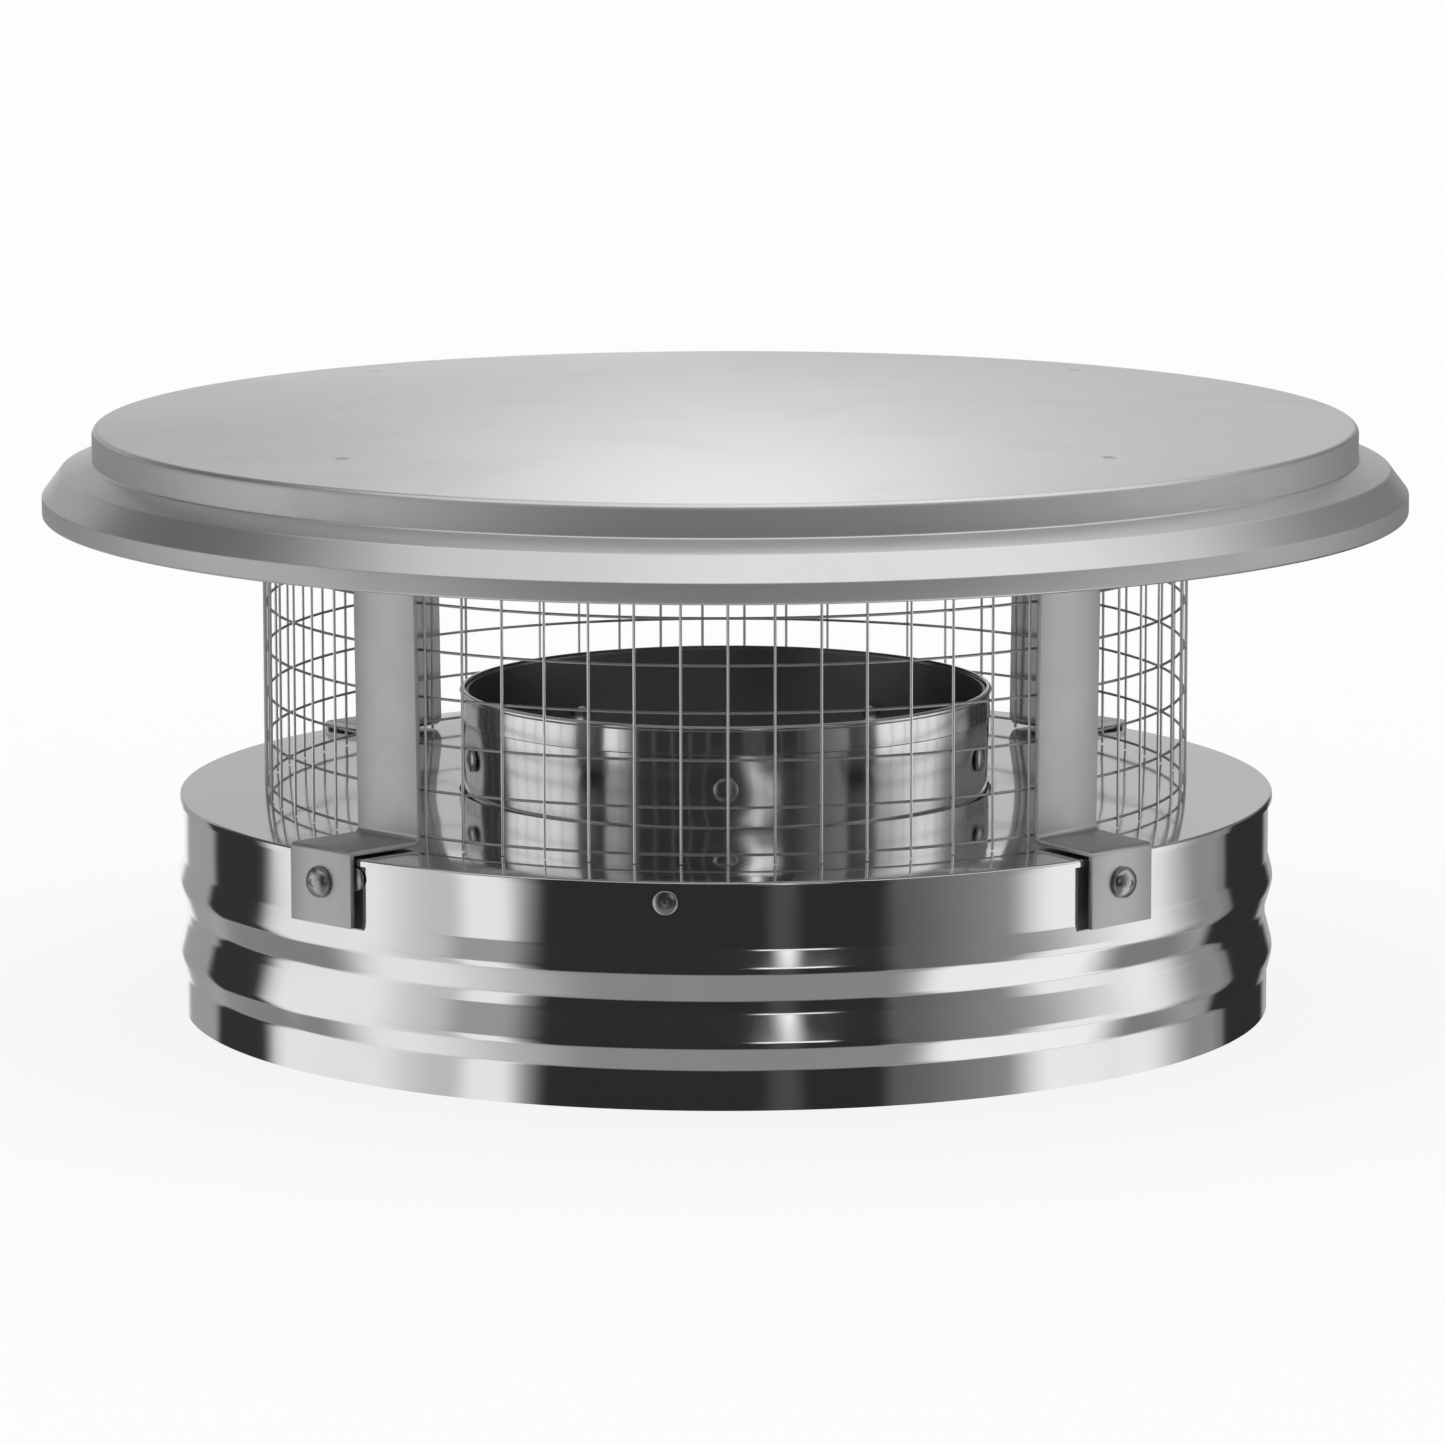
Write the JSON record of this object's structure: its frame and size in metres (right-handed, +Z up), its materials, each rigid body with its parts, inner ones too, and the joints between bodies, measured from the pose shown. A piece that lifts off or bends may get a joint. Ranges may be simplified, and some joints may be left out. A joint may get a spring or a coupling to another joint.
{
  "type": "chimney cap",
  "caption": "Round steel chimney cap: beaded skirt, flue collar, wire screen cylinder and folded legs under a stepped, shallow domed lid.",
  "frame": {"origin": "middle of the skirt's lower edge, where the cap stands", "axes": "+Z up along the flue's axis; the pictured side faces -Y, between the two front legs"},
  "size_m": [0.391, 0.391, 0.1767],
  "materials": {
    "lid_steel": "satin stainless sheet",
    "skirt_steel": "bright mill-rolled stainless sheet",
    "plate_steel": "bright mill-rolled stainless sheet",
    "collar_steel": "bright mill-rolled stainless sheet",
    "sleeve_steel": "satin stainless sheet",
    "wire_steel": "welded wire",
    "strap_steel": "satin stainless strap",
    "rivet_steel": "bright rivet steel"
  },
  "bodies": {
    "root": {"lid": "lid_steel", "skirt": "skirt_steel", "base_plate": "plate_steel", "flue_collar": "collar_steel", "flue_sleeve": "sleeve_steel", "screen": "wire_steel", "leg_front_left": "strap_steel", "leg_front_right": "strap_steel", "leg_back_left": "strap_steel", "leg_back_right": "strap_steel", "foot_rivet_front_left": "rivet_steel", "foot_rivet_front_right": "rivet_steel", "foot_rivet_back_left": "rivet_steel", "foot_rivet_back_right": "rivet_steel", "skirt_rivet_1": "rivet_steel", "skirt_rivet_2": "rivet_steel", "skirt_rivet_3": "rivet_steel", "skirt_rivet_4": "rivet_steel", "collar_rivet_1": "rivet_steel", "collar_rivet_2": "rivet_steel", "collar_rivet_3": "rivet_steel", "collar_rivet_4": "rivet_steel", "collar_rivet_5": "rivet_steel"}
  },
  "joints": []
}
